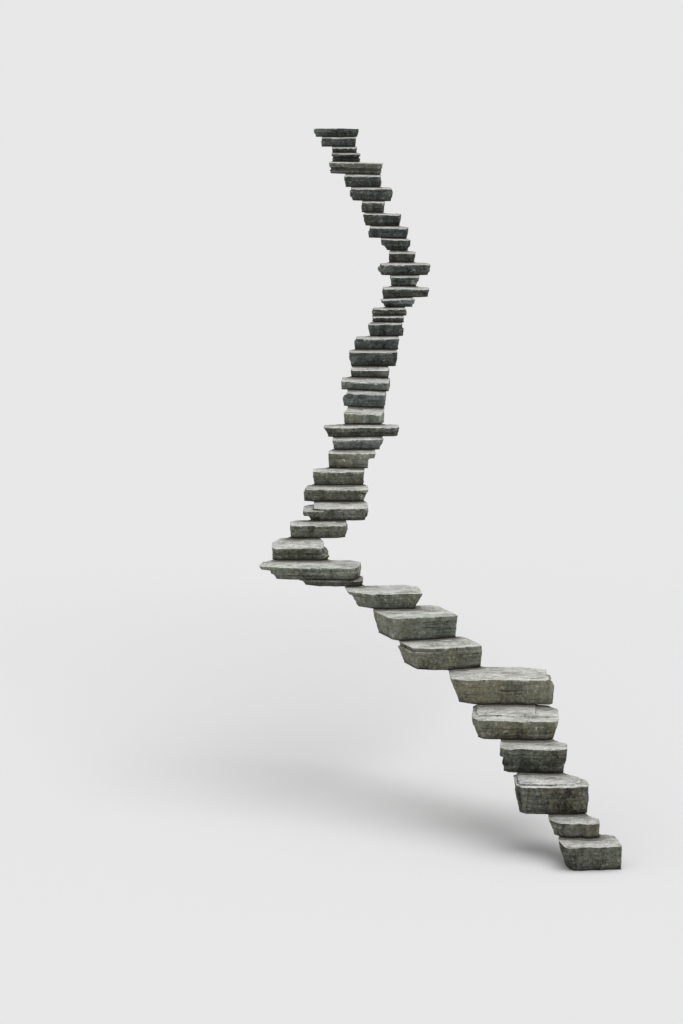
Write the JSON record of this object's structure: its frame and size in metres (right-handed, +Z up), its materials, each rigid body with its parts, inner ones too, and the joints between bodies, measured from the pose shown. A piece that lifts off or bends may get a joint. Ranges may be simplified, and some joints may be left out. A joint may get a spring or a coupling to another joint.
{
  "type": "flight of outdoor stone steps",
  "caption": "Dry-laid flight of split flagstone blocks that climbs a bank, turns at a broad landing slab and ends at a head stone.",
  "frame": {"origin": "middle of the underside of the foot stone, step_01", "axes": "+X across the flight to the right as one climbs it, +Y horizontally up the slope, +Z up"},
  "size_m": [3.0607, 14.8517, 6.655],
  "materials": {
    "grey_flagstone": "worn, split",
    "warm_flagstone": "worn, split",
    "blue_flagstone": "worn, split"
  },
  "bodies": {
    "root": {"step_01": "grey_flagstone", "step_02": "grey_flagstone", "step_03": "blue_flagstone", "step_04": "grey_flagstone", "step_05": "grey_flagstone", "step_06": "warm_flagstone", "step_07": "grey_flagstone", "step_08": "grey_flagstone", "step_09": "grey_flagstone", "landing_underslab": "grey_flagstone", "landing_slab": "grey_flagstone", "step_10": "grey_flagstone", "step_11": "grey_flagstone", "step_12": "warm_flagstone", "step_13": "warm_flagstone", "step_14": "grey_flagstone", "step_15": "grey_flagstone", "step_16": "blue_flagstone", "step_17": "grey_flagstone", "step_18": "grey_flagstone", "step_19": "blue_flagstone", "step_20": "grey_flagstone", "step_21": "warm_flagstone", "step_22": "grey_flagstone", "step_23": "blue_flagstone", "step_24": "grey_flagstone", "step_25": "grey_flagstone", "step_26": "grey_flagstone", "step_27": "blue_flagstone", "step_28": "grey_flagstone", "step_29": "grey_flagstone", "step_30": "grey_flagstone", "step_31": "warm_flagstone", "step_32": "grey_flagstone", "step_33": "blue_flagstone", "step_34": "grey_flagstone", "step_35": "grey_flagstone", "step_36": "grey_flagstone", "step_37": "grey_flagstone", "step_38": "warm_flagstone", "step_39": "grey_flagstone", "step_40": "grey_flagstone", "step_41": "grey_flagstone", "step_42": "grey_flagstone"}
  },
  "joints": []
}
